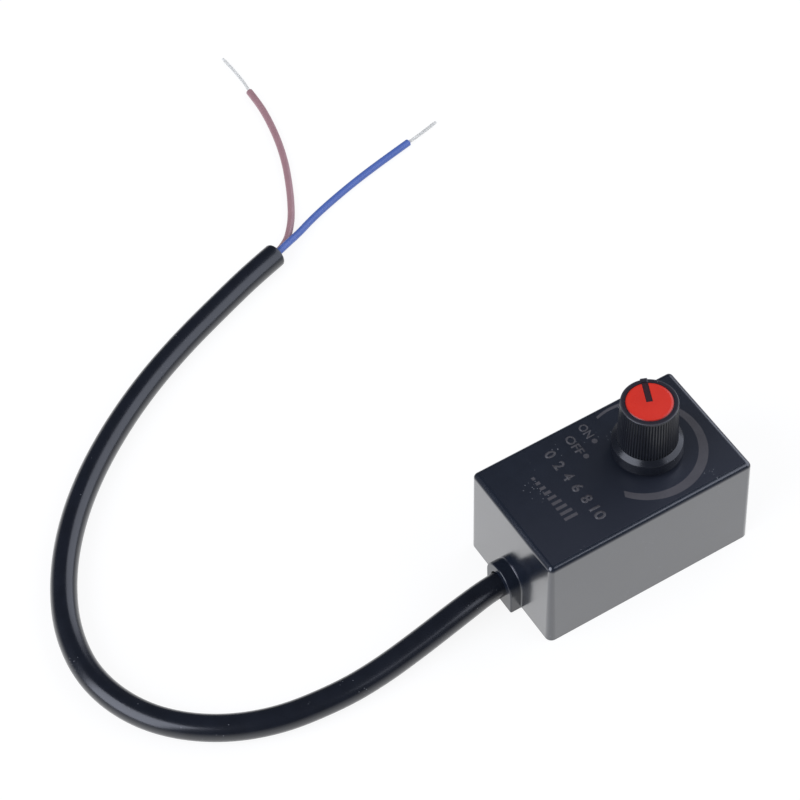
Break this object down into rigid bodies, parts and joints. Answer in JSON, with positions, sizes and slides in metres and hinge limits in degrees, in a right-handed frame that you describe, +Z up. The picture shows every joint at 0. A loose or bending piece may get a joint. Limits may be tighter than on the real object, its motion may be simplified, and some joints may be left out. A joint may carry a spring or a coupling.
{
  "type": "led dimmer",
  "caption": "Small boxed rotary dimmer for LED lighting: dark moulded case, ribbed knob with a red cap, and a two-core cord with stripped ends.",
  "frame": {"origin": "centre of the case's foot, on the surface that it stands on", "axes": "+Y from the cord's end of the case to the knob's end, +X to the right of someone who reads the print, +Z up along the knob's axis"},
  "size_m": [0.1843, 0.1447, 0.0408],
  "materials": {
    "case_plastic": "near-black navy, satin",
    "knob_plastic": "black, satin to gloss",
    "cap_plastic": "red, satin",
    "shaft_aluminium": "turned",
    "nylon": "natural nylon",
    "spring_bronze": "rolled",
    "zinc": "die-cast zinc",
    "plated_steel": "nickel plated",
    "phenolic": "brown laminate",
    "tinned_brass": "tin plated",
    "switch_plastic": "black",
    "board": "paper laminate",
    "resistor_body": "lacquered",
    "diode_glass": "clear with an orange tint",
    "component_black": "moulded epoxy",
    "solder": "bright",
    "cord_rubber": "smooth, half gloss",
    "brown_insulation": "smooth",
    "blue_insulation": "smooth",
    "tinned_copper": "twisted strands, tinned",
    "print_ink": "printed ink"
  },
  "bodies": {
    "case": {"case_shell": "case_plastic", "bottom_cover": "case_plastic", "pot_bushing": "zinc", "pot_washer": "plated_steel", "pot_nut": "plated_steel", "pot_wafer": "phenolic", "pot_terminals": "tinned_brass", "pot_housing": "zinc", "switch_housing": "switch_plastic", "switch_blade": "spring_bronze", "switch_contacts": "tinned_brass", "circuit_board": "board", "resistor": "resistor_body", "zener_diode": "diode_glass", "transistor": "component_black", "solder_joints": "solder", "cable_tie": "nylon", "cord_jacket": "cord_rubber", "brown_wire": "brown_insulation", "blue_wire": "blue_insulation", "brown_conductor": "tinned_copper", "blue_conductor": "tinned_copper", "brown_lead": "brown_insulation", "blue_lead": "blue_insulation"},
    "knob": {"knob_body": "knob_plastic", "knob_cap": "cap_plastic", "pot_shaft": "shaft_aluminium", "pot_rotor": "nylon", "pot_wiper": "spring_bronze"}
  },
  "joints": [
    {"name": "knob_turn", "type": "hinge", "parent": "case", "child": "knob", "pos_m": [0, 0.0085, 0.0247], "axis": [0, 0, 1], "range_deg": [-215, 85], "deforming": ["switch_blade"]}
  ]
}
